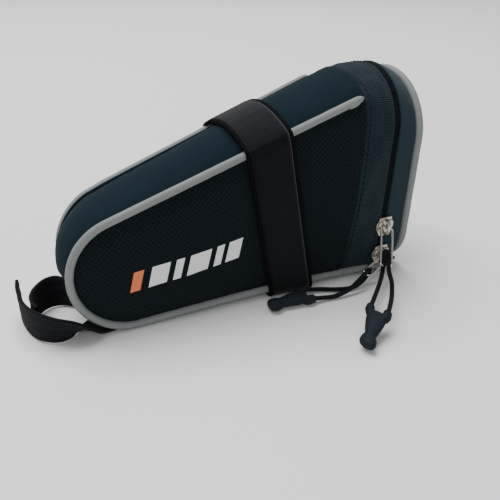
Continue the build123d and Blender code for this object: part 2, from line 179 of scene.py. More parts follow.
def fabric(name, color, kind, pitch, depth, low=0.5, roughness=0.9, sheen=0.03, fleck=0.12):
    """Cloth with a raised pattern; low is the colour's share in the pattern's hollows, a painted shade that
    darkens them.
    """
    material, tree, shader = new_material(name, color, roughness, sheen=sheen)
    shader.inputs["Specular IOR Level"].default_value = 0.1
    where = node(tree, "ShaderNodeTexCoord").outputs["UV"]
    height = {"dots": dots, "lines": lines, "weave": weave}[kind](tree, where, pitch)
    cloud = node(tree, "ShaderNodeTexNoise", Scale=55.0, Detail=4.0)
    place = node(tree, "ShaderNodeTexCoord").outputs["Object"]
    tree.links.new(place, cloud.inputs["Vector"])
    # share darkens the colour in the pattern's hollows: painted shade in the weave's gaps, the ribs' grooves and
    # the holes.
    share = math_node(tree, "ADD", math_node(tree, "MULTIPLY", height, 1 - low), low)
    worn = math_node(tree, "ADD", math_node(tree, "MULTIPLY", cloud.outputs["Fac"], 2 * fleck), 1 - fleck)
    scale = node(tree, "ShaderNodeVectorMath", operation="SCALE")
    scale.inputs[0].default_value = color
    tree.links.new(math_node(tree, "MULTIPLY", share, worn), scale.inputs["Scale"])
    tree.links.new(scale.outputs[0], shader.inputs["Base Color"])
    fine = node(tree, "ShaderNodeTexNoise", Scale=2600.0, Detail=2.0)
    tree.links.new(place, fine.inputs["Vector"])
    relief = math_node(tree, "ADD", height, math_node(tree, "MULTIPLY", fine.outputs["Fac"], 0.35))
    bump = node(tree, "ShaderNodeBump", Strength=0.8, Distance=depth * MM)
    tree.links.new(relief, bump.inputs["Height"])
    tree.links.new(bump.outputs[0], shader.inputs["Normal"])
    return material


def worn_solid(name, color, roughness, metallic=0.0, grain=900.0, depth=0.05):
    """Moulded or cast surface with fine grain and uneven gloss."""
    material, tree, shader = new_material(name, color, roughness, metallic)
    place = node(tree, "ShaderNodeTexCoord").outputs["Object"]
    speck = node(tree, "ShaderNodeTexNoise", Scale=grain, Detail=5.0)
    tree.links.new(place, speck.inputs["Vector"])
    gloss = node(tree, "ShaderNodeMapRange")
    (gloss.inputs["To Min"].default_value,
     gloss.inputs["To Max"].default_value) = roughness * 0.75, roughness * 1.3
    tree.links.new(speck.outputs["Fac"], gloss.inputs["Value"])
    tree.links.new(gloss.outputs[0], shader.inputs["Roughness"])
    bump = node(tree, "ShaderNodeBump", Strength=0.5, Distance=depth * MM)
    tree.links.new(speck.outputs["Fac"], bump.inputs["Height"])
    tree.links.new(bump.outputs[0], shader.inputs["Normal"])
    return material


# low sets how dark the painted shade in each cloth pattern's hollows is.
MESH = fabric("perforated_mesh", (0.0052, 0.0098, 0.0125), "dots", 1.9 * MM, 0.3, low=0.45)
GUSSET = fabric("gusset_knit", (0.0072, 0.0190, 0.0285), "weave", 0.8 * MM, 0.12,
                low=0.65, sheen=0.02, roughness=1.0)
RIBBED = fabric("ribbed_band", (0.0135, 0.0275, 0.035), "lines", 1.15 * MM, 0.25, low=0.45, sheen=0.06)
REAR_BAND = fabric("rear_band", (0.021, 0.039, 0.049), "lines", 0.7 * MM, 0.08,
                   low=0.75, sheen=0.08, roughness=1.0)
STRAP = fabric("strap_loop", (0.0018, 0.0038, 0.0048), "weave", 0.8 * MM, 0.15,
               low=0.6, sheen=0.17, roughness=1.0)
SELVEDGE = fabric("strap_selvedge", (0.003, 0.004, 0.005), "lines", 0.9 * MM, 0.15,
                  low=0.6, sheen=0.0, roughness=1.0)
WEBBING = fabric("webbing_weave", (0.011, 0.012, 0.015), "weave", 1.1 * MM, 0.3, low=0.4)
PIPING = fabric("reflective_piping", (0.24, 0.255, 0.25), "weave", 0.7 * MM, 0.06,
                low=0.85, roughness=0.5, sheen=0.0)
TAPE = fabric("zip_tape", (0.010, 0.018, 0.023), "lines", 0.8 * MM, 0.1, low=0.6)
LINING = fabric("lining_cloth", (0.04, 0.04, 0.043), "weave", 0.4 * MM, 0.04, low=0.8, roughness=0.7)
CORD = fabric("braided_cord", (0.012, 0.015, 0.02), "weave", 0.9 * MM, 0.2, low=0.45)
THREAD = worn_solid("thread", (0.007, 0.009, 0.012), 0.95)
THREAD.node_tree.nodes["Principled BSDF"].inputs["Specular IOR Level"].default_value = 0.1
HOOK = worn_solid("hook_tape", (0.008, 0.008, 0.008), 0.6, grain=1500.0, depth=0.4)
COIL = worn_solid("zip_coil", (0.0065, 0.011, 0.014), 0.75)
COIL.node_tree.nodes["Principled BSDF"].inputs["Specular IOR Level"].default_value = 0.08
METAL = worn_solid("slider_nickel", (0.50, 0.46, 0.40), 0.3, metallic=1.0)
WIRE = worn_solid("ring_wire", (0.62, 0.59, 0.54), 0.22, metallic=1.0)
TOGGLE = worn_solid("toggle_rubber", (0.0075, 0.012, 0.0165), 0.7, grain=500.0)
TOGGLE.node_tree.nodes["Principled BSDF"].inputs["Specular IOR Level"].default_value = 0.18
WHITE_INK = worn_solid("white_ink", (0.75, 0.75, 0.75), 0.6)
ORANGE_INK = worn_solid("orange_ink", (0.72, 0.17, 0.05), 0.6)


# ---------------------------------------------------------------- mesh helpers
def slack(x, y):
    """The far side of the nose sits back a little, as the empty bag slumps."""
    return 3.5 * smooth(-x, 78, 112) * smooth(y, -6, 20)


def add_piece(name, verts, faces, material, body, slot, stands_for=(), uvs=None,
              thickness=0.0, offset=-1.0):
    mesh = bpy.data.meshes.new(name)
    shift = slack if body == "bag" and slot != "webbing" else (lambda x, y: 0.0)
    mesh.from_pydata([((x + shift(x, y)) * MM, y * MM, z * MM) for x, y, z in verts], [], faces)
    mesh.materials.append(material)
    mesh.shade_smooth()
    if uvs is not None:
        layer = mesh.uv_layers.new(name="UVMap")
        for loop in mesh.loops:
            u, v = uvs[loop.vertex_index]
            layer.data[loop.index].uv = (u * MM, v * MM)
    piece = bpy.data.objects.new(name, mesh)
    bpy.context.scene.collection.objects.link(piece)
    middle = Vector((-0.02, 0, 0.045))
    if thickness and sum((p.center - middle).dot(p.normal) * p.area for p in mesh.polygons) < 0:
        mesh.flip_normals()
    if thickness:
        solid = piece.modifiers.new("thickness", "SOLIDIFY")
        solid.thickness, solid.offset = thickness * MM, offset
    if body:
        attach(piece, body)
    if stands_for:
        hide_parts(*stands_for)
    return piece


def grid(name, rows, material, body, slot, stands_for=(), thickness=0.0, offset=-1.0,
         close=False, flat_uv=False):
    """Surface through rows of points. Its UV map is in real length along and across the rows."""
    count, wide = len(rows), len(rows[0])
    pts = np.array(rows, dtype=float)
    along = np.zeros((count, wide))
    along[1:] = np.cumsum(np.linalg.norm(pts[1:] - pts[:-1], axis=2).mean(axis=1))[:, None]
    across = np.zeros((count, wide))
    across[:, 1:] = np.cumsum(np.linalg.norm(pts[:, 1:] - pts[:, :-1], axis=2), axis=1)
    across -= across[:, wide // 2][:, None]
    uvs = ([(p[0], p[2]) for p in pts.reshape(-1, 3)] if flat_uv
           else list(zip(across.ravel(), along.ravel())))
    faces = []
    for i in range(count - 1 + (1 if close else 0)):
        for j in range(wide - 1):
            a, b = i * wide + j, ((i + 1) % count) * wide + j
            faces.append((a, a + 1, b + 1, b))
    return add_piece(name, pts.reshape(-1, 3).tolist(), faces, material, body, slot, stands_for, uvs,
                     thickness, offset)


def resample(points, count):
    pts = np.array(points, dtype=float)
    run = np.concatenate([[0], np.cumsum(np.linalg.norm(pts[1:] - pts[:-1], axis=1))])
    where = np.linspace(0, run[-1], count)
    return np.stack([np.interp(where, run, pts[:, k]) for k in range(pts.shape[1])], axis=1)


def frames_along(points):
    """A tangent, and two directions across it, at each point of a path."""
    pts = np.array(points, dtype=float)
    tangents = np.gradient(pts, axis=0)
    tangents /= np.linalg.norm(tangents, axis=1)[:, None]
    side = np.cross(tangents[0], (0, 1, 0.01))
    out = []
    for p, t in zip(pts, tangents):
        side = side - t * side.dot(t)
        side /= np.linalg.norm(side)
        out.append((p, t, side, np.cross(t, side)))
    return out


def tube(name, points, radius, material, body, slot, stands_for=(), sides=16, seed=0.0):
    """Filled cord of fabric along a path, closed at its ends, slightly uneven."""
    rows, frames = [], frames_along(points)
    for i, (p, t, s, u) in enumerate(frames):
        r = radius * (1 + 0.05 * wander(*p, 6.0, seed))
        end = min(i, len(frames) - 1 - i)
        r *= (0.05, 0.7, 0.93)[end] if end < 3 else 1.0
        turn = [2 * math.pi * j / sides for j in range(sides + 1)]
        rows.append([p + r * (math.cos(a) * s + math.sin(a) * u) for a in turn])
    return grid(name, rows, material, body, slot, stands_for)


def stitches(name, points, normals, body, slot, pitch=3.0, size=2.1, radius=0.24, material=THREAD):
    """Short stitches lying along a path, each sunk a little at its ends."""
    pts = np.array(points, dtype=float)
    run = np.concatenate([[0], np.cumsum(np.linalg.norm(pts[1:] - pts[:-1], axis=1))])
    nrm = np.array(normals, dtype=float)
    verts, faces = [], []

    def at(values, s):
        return np.array([np.interp(s, run, values[:, k]) for k in range(3)])

    for s in np.arange(pitch / 2, run[-1] - pitch / 2, pitch):
        first = len(verts)
        normal = at(nrm, s)
        normal /= np.linalg.norm(normal)
        ahead = at(pts, s + size / 2) - at(pts, s - size / 2)
        side = np.cross(ahead / np.linalg.norm(ahead), normal)
        for k, (part, lift, r) in enumerate(
                ((-0.5, -0.25, 0.1), (-0.42, 0.0, 0.9), (0, 0.06, 1.0), (0.42, 0.0, 0.9), (0.5, -0.25, 0.1))):
            centre = at(pts, s + part * size) + normal * lift
            for j in range(6):
                a = math.pi / 3 * j
                verts.append(centre + radius * r * (math.cos(a) * side + math.sin(a) * normal))
            if k:
                for j in range(6):
                    b = first + (k - 1) * 6
                    faces.append((b + j, b + (j + 1) % 6, b + 6 + (j + 1) % 6, b + 6 + j))
    return add_piece(name, verts, faces, material, body, slot)


# ---------------------------------------------------------------- camera, floor and light
def look(obj, target):
    obj.rotation_euler = (Vector(target) - obj.location).to_track_quat("-Z", "Y").to_euler()


camera = bpy.data.objects.new("camera", bpy.data.cameras.new("camera"))
bpy.context.scene.collection.objects.link(camera)
bpy.context.scene.camera = camera
camera.data.sensor_width, camera.data.lens, camera.data.clip_start = 36.0, 43.2, 0.01
camera.location = (-0.1440, -0.2635, 0.1780)
look(camera, (-0.0097, 0.0, 0.0141))


def area_light(name, place, target, size, power, color=(1, 1, 1)):
    data = bpy.data.lights.new(name, "AREA")
    data.shape, data.size, data.size_y, data.energy, data.color = "RECTANGLE", size[0], size[1], power, color
    lamp = bpy.data.objects.new(name, data)
    bpy.context.scene.collection.objects.link(lamp)
    lamp.location = place
    look(lamp, target)


area_light("overhead", (-0.2, 0.7, 1.9), (0, 0, 0.03), (2.0, 1.6), 68.0)
area_light("front", (-0.7, -1.2, 0.9), (0, 0, 0.03), (0.8, 0.8), 5.5)
world = bpy.data.worlds.new("studio")
bpy.context.scene.world = world
world.use_nodes = True
world.node_tree.nodes["Background"].inputs["Color"].default_value = (0.95, 0.96, 1.0, 1)
world.node_tree.nodes["Background"].inputs["Strength"].default_value = 0.36

floor_material, _, _ = new_material("floor", (0.84, 0.84, 0.83), 0.7)
floor_mesh = bpy.data.meshes.new("floor")
floor_mesh.from_pydata([(-3, -3, -0.0004), (3, -3, -0.0004), (3, 3, -0.0004), (-3, 3, -0.0004)],
                       [], [(0, 1, 2, 3)])
floor_mesh.materials.append(floor_material)
floor = bpy.data.objects.new("floor", floor_mesh)
bpy.context.scene.collection.objects.link(floor)


# ---------------------------------------------------------------- pull cords
def pull_cord(name, route, body, stands_for):
    curve = bpy.data.curves.new(name, "CURVE")
    (curve.dimensions, curve.bevel_depth,
     curve.bevel_resolution, curve.resolution_u) = "3D", CORD_D / 2 * MM, 5, 12
    curve.use_fill_caps = True
    spline = curve.splines.new("NURBS")
    spline.points.add(len(route) - 1)
    for point, (x, y, z) in zip(spline.points, route):
        point.co = (x, y, z, 1)
    spline.order_u = 3
    spline.use_endpoint_u = True
    curve.materials.append(CORD)
    piece = bpy.data.objects.new(name, curve)
    bpy.context.scene.collection.objects.link(piece)
    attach(piece, body)
    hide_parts(stands_for)


UPPER_ROUTE = [
    (0.0210, -0.0714, 0.0095), (0.0270, -0.0658, 0.0086), (0.0348, -0.0586, 0.0072), (0.0426, -0.0514, 0.0066),
    (0.0490, -0.0452, 0.0081), (0.0510, -0.0423, 0.0125), (0.0510, -0.0466, 0.0157), (0.0485, -0.0504, 0.0108),
    (0.0464, -0.0562, 0.0086), (0.0420, -0.0620, 0.0080), (0.0358, -0.0692, 0.0087), (0.0294, -0.0758, 0.0093),
    (0.0247, -0.0800, 0.0095),
]
LOWER_ROUTE = [
    (0.0050, -0.0439, 0.0029), (0.0110, -0.0446, 0.0020), (0.0185, -0.0459, 0.0014), (0.0270, -0.0464, 0.0036),
    (0.0356, -0.0454, 0.0091), (0.0434, -0.0413, 0.0101), (0.0434, -0.0399, 0.0050), (0.0365, -0.0426, 0.0024),
    (0.0290, -0.0429, 0.0014), (0.0215, -0.0396, 0.0013), (0.0145, -0.0360, 0.0015), (0.0090, -0.0348, 0.0022),
    (0.0050, -0.0347, 0.0029),
]


def toggle(name, left, right, foot, body, stands_for):
    """Moulded cord end: two round arms, a tapered body, a waist and a flared foot."""
    left, right, foot = (np.array(p) * 1000 for p in (left, right, foot))
    top = (left + right) / 2
    reach = np.linalg.norm(foot - top)
    along, across = (foot - top) / reach, (right - left) / np.linalg.norm(right - left)
    flat = np.cross(along, across)
    form = bmesh.new()

    def tapered(stations):
        rings = []
        for distance, wide, tall, shift in stations:
            ring = []
            for j in range(24):
                a = 2 * math.pi * j / 24
                p = top + along * distance + across * (shift + wide * math.cos(a)) + flat * tall * math.sin(a)
                ring.append(form.verts.new(p * MM))
            if rings:
                for j in range(24):
                    form.faces.new((rings[-1][j], rings[-1][(j + 1) % 24], ring[(j + 1) % 24], ring[j]))
            rings.append(ring)
        form.faces.new(rings[0])
        form.faces.new(list(reversed(rings[-1])))

    for side in (-4.7, 4.7):
        tapered([(-1.2, 1.7, 1.7, side), (-0.6, 2.3, 2.3, side), (2.6, 2.5, 2.6, side),
                 (5.2, 2.3, 2.4, side * 0.8)])
    tapered([(2.0, 4.4, 1.8, 0), (3.4, 5.4, 2.6, 0), (8.0, 5.2, 2.8, 0), (12.0, 4.3, 2.8, 0),
             (reach - 8.0, 3.2, 2.6, 0), (reach - 6.8, 3.1, 2.5, 0), (reach - 5.2, 4.1, 2.8, 0),
             (reach - 2.4, 4.5, 2.9, 0), (reach - 0.8, 3.9, 2.6, 0),
             (reach, 2.6, 1.7, 0)])
    bmesh.ops.recalc_face_normals(form, faces=form.faces)
    mesh = bpy.data.meshes.new(name)
    form.to_mesh(mesh)
    form.free()
    mesh.materials.append(TOGGLE)
    piece = bpy.data.objects.new(name, mesh)
    bpy.context.scene.collection.objects.link(piece)
    melt = piece.modifiers.new("melt", "REMESH")
    melt.mode, melt.voxel_size, melt.use_smooth_shade = "VOXEL", 0.3 * MM, True
    soften = piece.modifiers.new("soften", "SMOOTH")
    soften.iterations = 6
    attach(piece, body)
    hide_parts(stands_for)
    return piece


upper_end = toggle("upper_toggle", UPPER_ROUTE[0], UPPER_ROUTE[-1], (0.0048, -0.0903, 0.0036),
                   "upper_pull", "upper_cord_end")
lower_end = toggle("lower_toggle", LOWER_ROUTE[0], LOWER_ROUTE[-1], (-0.0190, -0.0403, 0.0033),
                   "lower_pull", "lower_cord_end")

# The upper cord's bight, drawn up inside the ring above the bar that the cord is looped on.
BAR, DOWN, ACROSS = (np.array((49.95, -46.2, 12.1)), np.array((-0.368, -0.563, -0.740)),
                     np.array((0.930, -0.223, -0.293)))
bight = [BAR - DOWN * (up - 0.6) + ACROSS * side for up, side in
         ((-0.8, -1.3), (2.0, -1.45), (5.0, -1.5), (7.2, -1.3), (8.6, -0.7), (9.0, 0.0),
          (8.6, 0.7), (7.2, 1.3), (5.0, 1.5), (2.0, 1.45), (-0.8, 1.3))]
knot = tube("upper_cord_bight", resample(bight, 40), 1.15, CORD, "upper_pull", "pull_cord")
pull_cord("upper_cord", UPPER_ROUTE, "upper_pull", "upper_pull_cord")
pull_cord("lower_cord", LOWER_ROUTE, "lower_pull", "lower_pull_cord")


# ---------------------------------------------------------------- side panels
def fullness(x):
    """How far a side swells out past its flat plane, along the bag."""
    return float(np.interp(x, (-114, -90, -55, -30, -20, 6, 16, 31, 45),
                           (2.2, 3.2, 4.4, 3.0, 1.9, 1.9, 3.2, 5.6, 6.2)))


SIDE_EDGE = np.array([(x, z) for x, z, _, _ in edge_path(31.0)])


def side_surface(x, z):
    """Distance of the side's cloth from the middle plane."""
    gap = float(np.sqrt(((SIDE_EDGE - (x, z)) ** 2).sum(axis=1).min()))
    swell = -0.8 + (fullness(x) + 0.8) * (1 - math.exp(-gap / 7.5))
    pucker = 0.16 * math.exp(-gap / 5.0) * math.sin(2 * math.pi * (x + 0.6 * z) / 7.0)
    soft = 0.55 * wander(x, 0, z, 26.0, 3.1) * smooth(gap, 0, 12) + 0.18 * wander(x, 9, z, 9.0, 1.7)
    return half_width(x, z) + swell + pucker + soft


def side_loop():
    edge = [(x - 1.1 * nx, z - 1.1 * nz) for x, z, nx, nz in edge_path(seam_x(3) + 0.8)]
    low, high = edge[-1], edge[0]
    steps = 60
    return edge + [(low[0] + (high[0] - low[0]) * i / steps, low[1] + (high[1] - low[1]) * i / steps)
                   for i in range(1, steps)]


def side_panel(sign, suffix, nodes):
    loop, centre = side_loop(), np.array((-22.0, 40.0))
    rows = []
    for k in range(45):
        s = (k / 44) ** 1.4
        row = []
        for x, z in loop + loop[:1]:
            px, pz = np.array((x, z)) * (1 - s * 0.999) + centre * s * 0.999
            row.append((px, sign * side_surface(px, pz), pz))
        rows.append(row)
    if sign < 0:
        rows = [row[::-1] for row in rows]
    piece = grid(f"side_shell_{suffix}", rows, MESH, "bag", "mesh_fabric", nodes, 2.2, -1.0, flat_uv=True)
    return piece


side_panel(-1, "near", ["side_panel_near"])
side_panel(1, "far", ["side_panel_far"])


# ---------------------------------------------------------------- piping round the sides
def side_piping(sign, suffix, nodes):
    path = [(x, sign * (half_width(x, z) + 0.3), z) for x, z, _, _ in edge_path(SIDE_EDGE_END)]
    tube(f"piping_{suffix}", path, PIPING_R, PIPING, "bag", "reflective_piping", nodes, seed=sign)
    tab = [[(x - 2.0 + 0.2 * u + (u / 7) * 4.2,
             sign * (half_width(x, z) + 2.0 + 0.6 * math.sin(u / 7 * math.pi)),
             slope_z(x - 2.0 + u) + v * (1.25 + 0.06 * u) - 0.6)
            for v in np.linspace(-1, 1, 7)]
           for x, z in ((SEAM_TOP_X - 7.5, slope_z(SEAM_TOP_X)),) for u in np.linspace(0, 7, 9)]
    grid(f"piping_tab_{suffix}", tab, PIPING, "bag", "reflective_piping", [], 0.8)
    flange = [(x + 0.5 * nx, sign * (half_width(x, z) - 1.8), z + 0.5 * nz) for x, z, nx, nz in edge_path(SIDE_EDGE_END)]
    tube(f"piping_flange_{suffix}", flange, 0.9, GUSSET, "bag", "gusset_fabric", sides=10, seed=2 + sign)


for sign, suffix in ((-1, "near"), (1, "far")):
    side_piping(sign, suffix, [f"piping_{suffix}"])


# ---------------------------------------------------------------- gusset and bottom
def strip_rows(stations, side_gap, tuck=0.9, wrinkle=0.35, columns=41):
    """Rows across the bag: each station is x, z, the outward direction and the crown."""
    rows = []
    for x, z, nx, nz, crown in stations:
        half = half_width(x, z) - side_gap
        row = []
        for j in range(columns):
            v = 2 * j / (columns - 1) - 1
            v = math.copysign(abs(v) ** 0.85, v)
            gap = half * (1 - abs(v))
            lift = crown * (1 - v * v) - tuck * math.exp(-gap / 2.2)
            lift += (wrinkle * wander(x, half * v, z, 14.0, 5.0)
                     + 0.14 * math.exp(-gap / 5) * math.sin((x - z) * 0.95))
            row.append((x + nx * lift, half * v, z + nz * lift))
        rows.append(row)
    return rows


def top_crown(x, z):
    if z < 31:
        return 0.8
    along = x if z > NOSE_C[1] + NOSE_R * 0.9 else -92 - (57 - z) * 0.4
    return float(np.interp(along, (-107, -102, -97, -88, -75, -50, -15, 40),
                           (0.8, 2.6, 3.6, 3.9, 4.4, 5.7, 7.4, 8.3)))


around = edge_path(51.0, step=1.2)
top_stations = [(x, slope_z(x), -math.sin(SLOPE), math.cos(SLOPE), 8.3)
                for x in (SEAM_TOP_X + 3.5, SEAM_TOP_X + 1.5)]
top_stations += [(x, z, nx, nz, top_crown(x, z)) for x, z, nx, nz in around if z > 30.0 and x < 45]
low_stations = [(x, z, nx, nz, 0.6 - 0.9 * smooth(z, 24, 29)) for x, z, nx, nz in around if z <= 30.0]
grid("gusset", strip_rows(top_stations, 1.2), GUSSET, "bag", "gusset_fabric", ["top_gusset"], 2.2)
grid("bottom_skin", strip_rows(low_stations, 1.2, wrinkle=0.2), GUSSET, "bag", "gusset_fabric",
     ["bottom_panel"], 2.2)
hinge_stations = [(x, bottom_z(x), 0.0, -1.0, 0.6) for x in np.arange(50.0, 70.5, 0.8)]
hinge_skin = grid("hinge_skin", strip_rows(hinge_stations, 1.2, wrinkle=0.1), GUSSET, None,
                  "gusset_fabric", ["lid_bottom"], 1.8)
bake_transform(hinge_skin)
for sign, suffix in ((-1, "near"), (1, "far")):
    path = [(x, sign * half_width(x, bottom_z(x)), bottom_z(x)) for x in np.arange(51.0, 68.5, 0.7)]
    low_piping = tube(f"hinge_piping_{suffix}", path, PIPING_R, PIPING, None,
                      "reflective_piping", [f"lid_edge_piping_{suffix}"])
    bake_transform(low_piping)


# ---------------------------------------------------------------- arches: seam, coil and back
def rounded(points, passes=40):
    pts = resample(points, 241)
    for _ in range(passes):
        pts[1:-1] = 0.5 * pts[1:-1] + 0.25 * (pts[:-2] + pts[2:])
    return pts


def mirrored(half):
    return half + [(-y, z) for y, z in reversed(half[:-1])]


def horseshoe(half, top, foot):
    spring = top - half
    arc = [(-half * math.cos(a), spring + half * math.sin(a)) for a in np.linspace(0, math.pi, 61)]
    return np.array([(-half, foot)] + arc + [(half, foot)])


ARCH = 181
seam_arch = resample(rounded(mirrored([(-28.0, 3.4), (-31.0, 20), (-33.2, 40), (-33.4, 60), (-31.6, 80),
                                       (-29.0, 95), (-26.6, 101.2),
                                        (-20.4, 104.7), (-10.0, 108.0), (0, 109.2)]), 60), ARCH)
coil_arch = resample(horseshoe(COIL_HALF, COIL_TOP, 3.4), ARCH)
back_arch = resample(horseshoe(BACK_HALF, BACK_TOP, 4.6), ARCH)
for point in back_arch:
    drop = 13.0 - math.sqrt(169.0 - max(0.0, 15.0 - point[1]) ** 2)
    point[0] = math.copysign(abs(point[0]) - drop, point[0])


def arch_normals(arch):
    tangent = np.gradient(arch, axis=0)
    tangent /= np.linalg.norm(tangent, axis=1)[:, None]
    return np.stack([-tangent[:, 1], tangent[:, 0]], axis=1)


def band(name, start, end, start_x, end_x, profile, material, body, slot, nodes, wrinkle, seed):
    """Band between two arches. profile gives a share of the way and a lift outwards for each row."""
    rows = []
    for share, lift in profile:
        arch = start * (1 - share) + end * share
        out = arch_normals(arch)
        row = []
        for (y, z), (ny, nz) in zip(arch, out):
            x = start_x(z) * (1 - share) + end_x(z) * share
            inner = share * (1 - share) * 4
            soft = wrinkle * inner * (wander(x * 1.6, y, z, 15.0, seed)
                                      + 0.5 * smooth(z, 60, 100) * wander(x * 2.5, y, z, 7.0, seed + 4))
            row.append((x, y + ny * (lift + soft), z + nz * (lift + soft)))
        rows.append(row)
    return grid(name, rows, material, body, slot, nodes, 1.8)


body_profile = [(0.0, -1.6), (0.0, -0.5), (0.012, -0.05), (0.035, 0.15), (0.07, 0.1)]
body_profile += [(s, 0.1 + 0.8 * math.sin(math.pi * s)) for s in np.linspace(0.12, 0.86, 26)]
body_profile += [(0.9, 0.3), (0.95, 0.25), (0.985, 0.0), (1.0, -0.8)]
band("zip_band_main", seam_arch, coil_arch, lambda z: seam_x(z) + 0.1, lambda z: coil_x(z) - 1.9,
     body_profile, RIBBED, "bag",
     "ribbed_fabric", ["zip_band_body"], 0.9, 2.0)
lid_profile = [(0.0, -0.9), (0.01, -0.1), (0.05, 0.15), (0.1, 0.2)]
lid_profile += [(s, 0.2 + 0.3 * math.sin(math.pi * s)) for s in np.linspace(0.16, 0.86, 14)] + [
    (0.93, -0.1), (1.0, -1.2)]
band("zip_band_rear", coil_arch, back_arch, lambda z: coil_x(z) + 1.9, lambda z: back_x(z) - 1.7,
     lid_profile, REAR_BAND, "lid",
     "ribbed_fabric", ["zip_band_lid"], 0.35, 8.0)


# ---------------------------------------------------------------- zip: tapes, stitches and coil
def zip_tape(first, last, name, body, nodes):
    arch = resample(horseshoe(COIL_HALF - 1.0, COIL_TOP - 1.0, 6.0), ARCH)
    rows = [[(coil_x(z) + first + (last - first) * k / 4, y, z) for y, z in arch] for k in range(5)]
    grid(name, rows, TAPE, body, "zip_tape", nodes, 0.6)


zip_tape(-4.5, -0.5, "tape_main", "bag", ["zip_tape_body"])
zip_tape(0.5, 4.5, "tape_rear", "lid", ["zip_tape_lid"])


def zip_coil(side, name, body, nodes):
    """Row of coil turns, one bead of monofilament for each."""
    arch = resample(horseshoe(COIL_HALF - 0.9, COIL_TOP - 0.9, 7.0), 2400)
    run = np.concatenate([[0], np.cumsum(np.linalg.norm(arch[1:] - arch[:-1], axis=1))])
    out = arch_normals(arch)
    verts, faces = [], []
    for s in np.arange(0.8 + (0.35 if side > 0 else 0), run[-1], 0.7):
        k = int(np.searchsorted(run, s))
        (y, z), (ny, nz) = arch[min(k, 2399)], out[min(k, 2399)]
        first = len(verts)
        for m, (dx, r) in enumerate(((-0.12, 0.12), (-0.02, 0.3), (0.5, 0.32),
                                     (1.3, 0.32), (1.75, 0.26), (1.9, 0.1))):
            for j in range(6):
                a = math.pi / 3 * j
                up, flat = r * 1.6 * math.sin(a), r * math.cos(a)
                verts.append((coil_x(z) + side * dx, y + ny * up - nz * flat, z + nz * up + ny * flat))
            if m:
                for j in range(6):
                    b = first + (m - 1) * 6
                    faces.append((b + j, b + (j + 1) % 6, b + 6 + (j + 1) % 6, b + 6 + j))
    add_piece(name, verts, faces, COIL, body, "zip_coil", nodes)


zip_coil(-1, "coil_main", "bag", ["zip_coil_body"])
zip_coil(1, "coil_rear", "lid", ["zip_coil_lid"])


def arch_stitches(name, arch, place, lift, body):
    out = arch_normals(arch)
    keep = slice(6, len(arch) - 6)
    points = [(place(z), y + ny * lift, z + nz * lift) for (y, z), (ny, nz) in zip(arch[keep], out[keep])]
    stitches(name, points, [(0, ny, nz) for ny, nz in out[keep]], body, "zip_tape")


arch_stitches("stitch_coil_main", coil_arch, lambda z: coil_x(z) - 4.4, 0.25, "bag")
arch_stitches("stitch_seam", seam_arch, lambda z: seam_x(z) + 2.4, 0.4, "bag")


# ---------------------------------------------------------------- rear panel and its piping
def rear_loop(inset, count=240):
    half, top = BACK_HALF - inset, BACK_TOP - inset
    low, bend = 2.0 + inset, 19.0
    corner = [(half - bend + bend * math.sin(a), low + bend - bend * math.cos(a))
              for a in np.linspace(0, math.pi / 2, 9)]
    arc = [(half * math.cos(a), top - half + half * math.sin(a)) for a in np.linspace(0, math.pi, 61)]
    left = [(-y, z) for y, z in reversed(corner)]
    loop = [(0, low)] + corner + arc + left + [(0, low)]
    return resample(loop, count + 1)


rear_rows = []
rear_centre = np.array((0.0, REAR_MID_Z))
for k in range(31):
    s = (k / 30) ** 1.3 * 0.999
    row = []
    for y, z in rear_loop(1.1):
        py, pz = np.array((y, z)) * (1 - s) + rear_centre * s
        lift = -0.6 + 4.0 * (1 - (1 - s) ** 2.4) + 0.4 * wander(py, 0, pz, 20.0, 6.0)
        row.append((back_x(pz) + lift, py, pz))
    rear_rows.append(row)
grid("rear_skin", rear_rows, GUSSET, "lid", "gusset_fabric", ["rear_panel"], 2.0)
tube("rear_piping_loop", [(back_x(z), y, z) for y, z in rear_loop(0)], PIPING_R, PIPING, "lid",
     "reflective_piping",
     ["rear_piping", "rear_foot_piping"])
lid_lining_rows = []
for k in range(16):
    s = k / 15 * 0.999
    loop = rear_loop(4.0)
    lid_lining_rows.append([
        (back_x(z) - 2.6 - 0.8 * smooth(s, 0, 0.2) + 0.35 * wander(y * (1 - s), 5, z, 12.0, 9.0),
         y * (1 - s), z * (1 - s) + REAR_MID_Z * s) for y, z in loop])
grid("lid_lining", lid_lining_rows, LINING, "lid", "lining_fabric", ["rear_stiffener"], 0.6)

# ---------------------------------------------------------------- lining inside the bag
lining_rows = []
for x in np.concatenate([np.linspace(-106, -90, 9), np.linspace(-86, 52, 40)]):
    low = max(bottom_z(x) + 3.8 if x > BOTTOM_X else 0,
              NOSE_C[1] - math.sqrt(max(0, LINING_NOSE_R ** 2 - min(0, x - NOSE_C[0]) ** 2)) + 0.0)
    high = min(slope_z(min(x, 38)) - 3.0,
               NOSE_C[1] + math.sqrt(max(1, LINING_NOSE_R ** 2 - min(0, x - NOSE_C[0]) ** 2)) if x < -92 else 999)
    high = min(high + 3.5 * smooth(x, -60, 30), 103)
    row = []
    for j in range(73):
        a = 2 * math.pi * j / 72
        c, s = math.cos(a), math.sin(a)
        py, pz = math.copysign(abs(c) ** 0.45, c), math.copysign(abs(s) ** 0.45, s)
        z = (low + high) / 2 + (high - low) / 2 * pz
        half = half_width(x, z) - 4.6
        soft = 0.9 * wander(x, py * half, z, 13.0, 7.0)
        row.append((x, py * (half + min(0, soft)), z - abs(soft) * 0.4 * pz))
    lining_rows.append(row)
grid("lining_pocket", lining_rows, LINING, "bag", "lining_fabric", ["lining", "base_stiffener"])

# ---------------------------------------------------------------- saddle strap
LEAN = math.radians(8.5)


